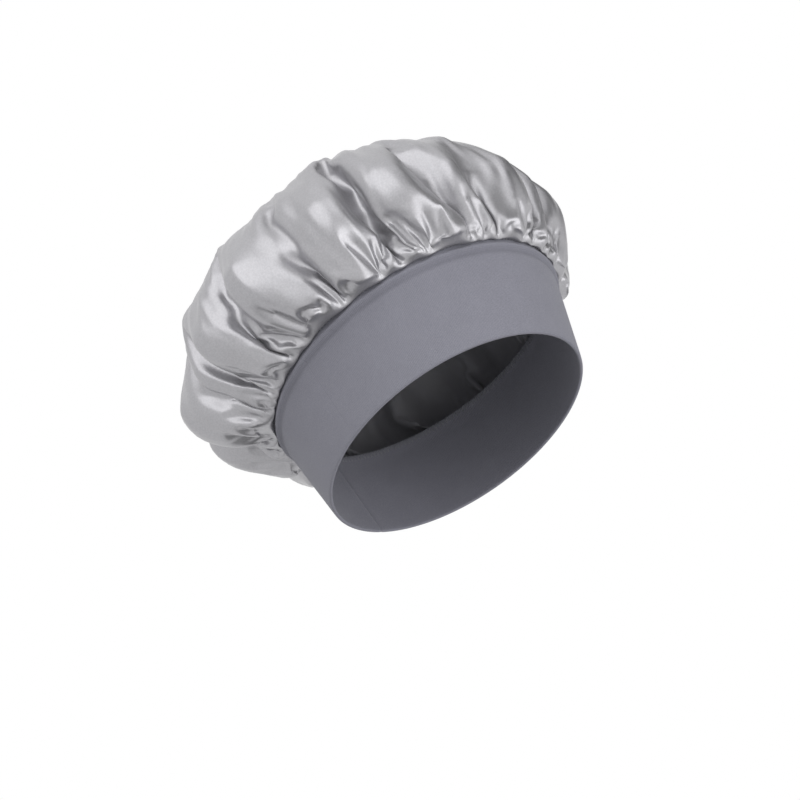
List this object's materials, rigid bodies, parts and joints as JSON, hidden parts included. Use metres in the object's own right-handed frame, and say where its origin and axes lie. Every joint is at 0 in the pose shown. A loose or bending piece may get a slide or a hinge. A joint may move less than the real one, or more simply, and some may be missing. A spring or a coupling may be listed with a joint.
{
  "type": "satin sleep cap",
  "caption": "Soft sleep cap: a puffed satin crown gathered onto a wide double-folded stretch jersey band that grips the head and covers the hair.",
  "frame": {"origin": "centre of the head opening, in the plane of the hem that the cap stands on", "axes": "+Z from the hem up to the crown, +Y towards the back of the head, +X towards the wearer's left"},
  "size_m": [0.2465, 0.2805, 0.1805],
  "materials": {
    "satin": "silver-grey satin weave with a soft sheen",
    "jersey": "matt blue-grey stretch jersey",
    "thread": "spun grey sewing thread"
  },
  "bodies": {
    "root": {"satin_crown": "satin", "knit_band": "jersey", "gathering_thread": "thread", "needle_thread_left": "thread", "needle_thread_right": "thread", "upper_looper_thread": "thread", "lower_looper_thread": "thread", "back_needle_thread": "thread", "back_bobbin_thread": "thread"}
  },
  "joints": []
}
